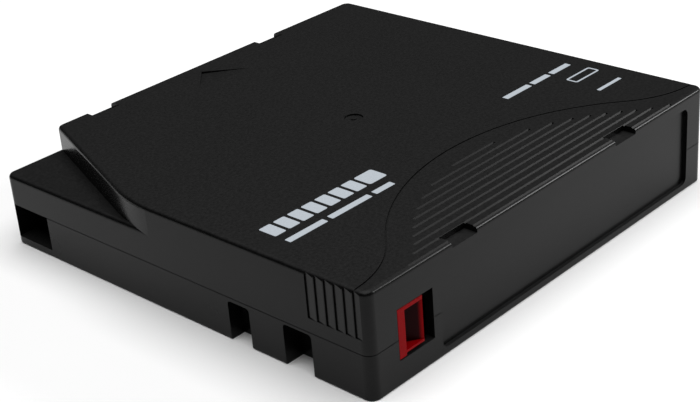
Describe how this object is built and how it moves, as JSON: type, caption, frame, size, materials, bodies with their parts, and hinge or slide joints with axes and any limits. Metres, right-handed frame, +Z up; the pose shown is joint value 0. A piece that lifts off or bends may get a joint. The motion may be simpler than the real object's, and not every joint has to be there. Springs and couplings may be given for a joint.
{
  "type": "data tape cartridge",
  "caption": "Half-inch single-reel data tape cartridge: two-part case with label recess, sliding door, write-protect switch, geared reel, brake and leader pin.",
  "frame": {"origin": "middle of the underside of the case, on the spindle axis", "axes": "+X along the label face, to the right when the label is read; +Y in the direction of insertion; +Z up through the top"},
  "size_m": [0.1054, 0.102, 0.0215],
  "materials": {
    "case_plastic": "fine textured",
    "inner_plastic": "plain moulded",
    "switch_plastic": "moulded",
    "reel_plastic": "satin moulded",
    "tape_film": "wound film",
    "steel": "plain",
    "spring_steel": "drawn wire",
    "screw_steel": "dark plated",
    "board": "coated laminate",
    "chip": "potting",
    "copper": "etched track"
  },
  "bodies": {
    "case": {"lower_shell": "case_plastic", "upper_shell": "case_plastic", "case_screws": "screw_steel", "door_spring": "spring_steel", "leader_tape": "tape_film", "leader_pin": "steel", "leader_clamp": "inner_plastic", "pin_spring": "spring_steel", "brake_spring": "spring_steel", "memory_board": "board", "memory_chip": "chip", "memory_antenna": "copper"},
    "door_body": {"door": "case_plastic"},
    "switch_body": {"write_protect_switch": "switch_plastic"},
    "reel_body": {"reel_hub": "reel_plastic", "upper_flange": "reel_plastic", "clutch_plate": "steel", "tape_pack": "tape_film"},
    "brake_body": {"brake_button": "inner_plastic"},
    "release_body": {"brake_release": "reel_plastic"}
  },
  "joints": [
    {"name": "door_slide", "type": "slide", "parent": "case", "child": "door_body", "axis": [0, -1, 0], "range_m": [0, 0.017], "stiffness_N_per_m": 30, "springref_m": -0.02, "deforming": ["door_spring"]},
    {"name": "write_protect_slide", "type": "slide", "parent": "case", "child": "switch_body", "axis": [1, 0, 0], "range_m": [0, 0.0025]},
    {"name": "reel_spin", "type": "hinge", "parent": "case", "child": "reel_body", "pos_m": [0, 0, 0.01], "axis": [0, 0, 1], "continuous": true},
    {"name": "brake_lift", "type": "slide", "parent": "case", "child": "brake_body", "axis": [0, 0, 1], "range_m": [0, 0.0018], "stiffness_N_per_m": 1000, "springref_m": -0.003, "deforming": ["brake_spring"]},
    {"name": "release_lift", "type": "slide", "parent": "reel_body", "child": "release_body", "axis": [0, 0, 1], "range_m": [0, 0.0018]}
  ],
  "couplings": [
    {"joint": "release_lift", "follows": "brake_lift", "ratio": 1}
  ]
}
